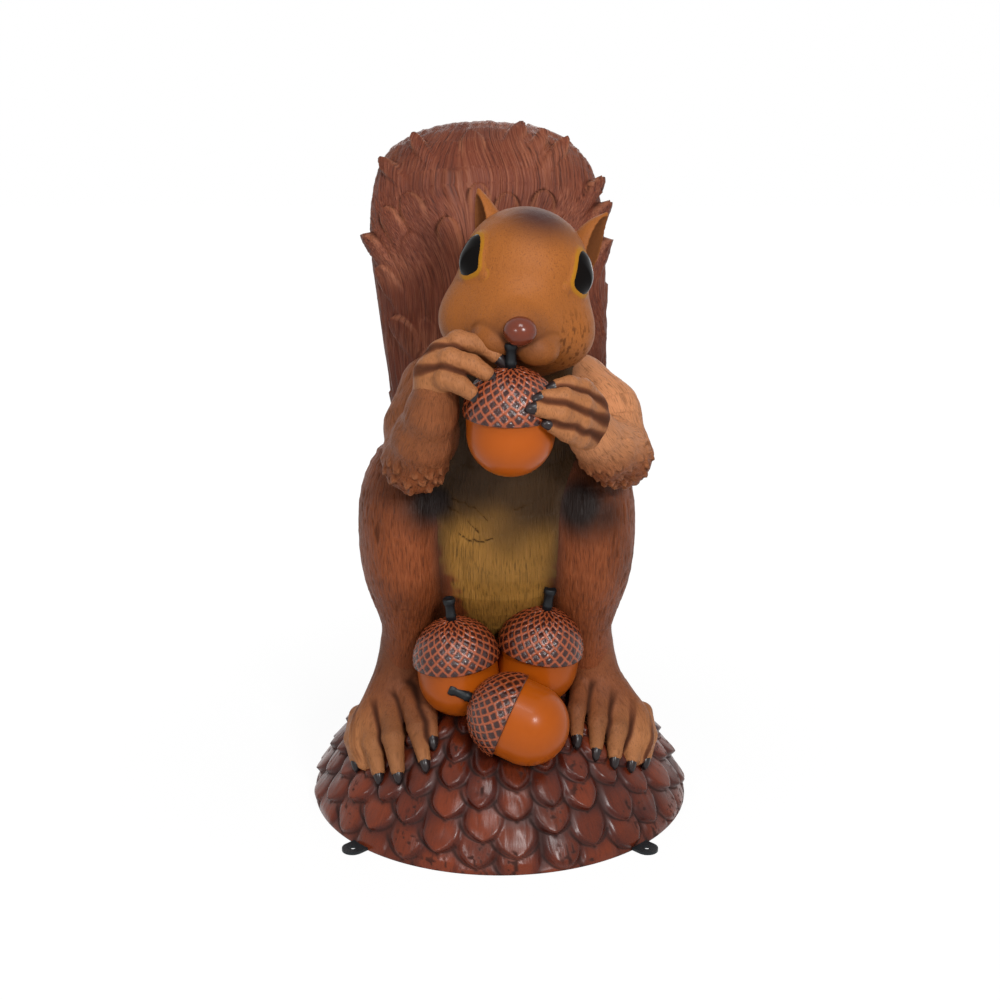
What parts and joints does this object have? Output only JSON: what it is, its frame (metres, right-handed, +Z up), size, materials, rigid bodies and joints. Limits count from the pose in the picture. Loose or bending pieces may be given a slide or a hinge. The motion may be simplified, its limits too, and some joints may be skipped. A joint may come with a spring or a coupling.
{
  "type": "squirrel statue",
  "caption": "Standing squirrel statue holding an acorn, on a pinecone mound with acorns at its feet and steel ground-fixing tabs.",
  "frame": {"origin": "centre of the mound's underside, at floor level", "axes": "+Z up, +X to the right of someone who faces the squirrel, and the squirrel faces -Y"},
  "size_m": [0.7086, 0.8058, 1.2467],
  "materials": {
    "mound_finish": "painted and varnished glass-fibre moulding",
    "body_finish": "painted satin glass-fibre moulding",
    "tail_finish": "painted satin glass-fibre moulding",
    "head_finish": "painted satin glass-fibre moulding",
    "nut_finish": "painted and varnished cast resin",
    "cap_finish": "painted and varnished cast resin",
    "stem_finish": "black painted cast resin",
    "claw_finish": "black painted cast resin",
    "eye_finish": "polished black cast resin",
    "nose_finish": "painted and varnished cast resin",
    "bar_finish": "black painted flat steel bar",
    "inner_steel": "primed steel",
    "screw_steel": "zinc plated",
    "plywood": "plain plywood"
  },
  "bodies": {
    "root": {"base_dome": "mound_finish", "base_board": "plywood", "fixing_bar_long": "bar_finish", "fixing_bar_short_left": "bar_finish", "fixing_bar_short_right": "bar_finish", "bar_screws": "screw_steel", "post_foot_plate": "inner_steel", "plate_screws": "screw_steel", "post_gussets": "inner_steel", "acorn_studs": "screw_steel", "spine_post": "inner_steel", "tail_arm": "inner_steel", "bulkhead_hip": "plywood", "bulkhead_shoulder": "plywood", "tail_bulkhead": "plywood", "torso_back": "body_finish", "torso_front": "body_finish", "tail_left": "tail_finish", "tail_right": "tail_finish", "nose": "nose_finish", "head_shell": "head_finish", "eye_left": "eye_finish", "ear_left": "head_finish", "haunch_left": "body_finish", "foot_left": "body_finish", "foot_claws_left": "claw_finish", "arm_left": "body_finish", "hand_left": "body_finish", "hand_claws_left": "claw_finish", "eye_right": "eye_finish", "ear_right": "head_finish", "haunch_right": "body_finish", "foot_right": "body_finish", "foot_claws_right": "claw_finish", "arm_right": "body_finish", "hand_right": "body_finish", "hand_claws_right": "claw_finish", "acorn_held_nut": "nut_finish", "acorn_held_cap": "cap_finish", "acorn_held_stem": "stem_finish", "acorn_left_nut": "nut_finish", "acorn_left_cap": "cap_finish", "acorn_left_stem": "stem_finish", "acorn_right_nut": "nut_finish", "acorn_right_cap": "cap_finish", "acorn_right_stem": "stem_finish", "acorn_front_nut": "nut_finish", "acorn_front_cap": "cap_finish", "acorn_front_stem": "stem_finish"}
  },
  "joints": []
}
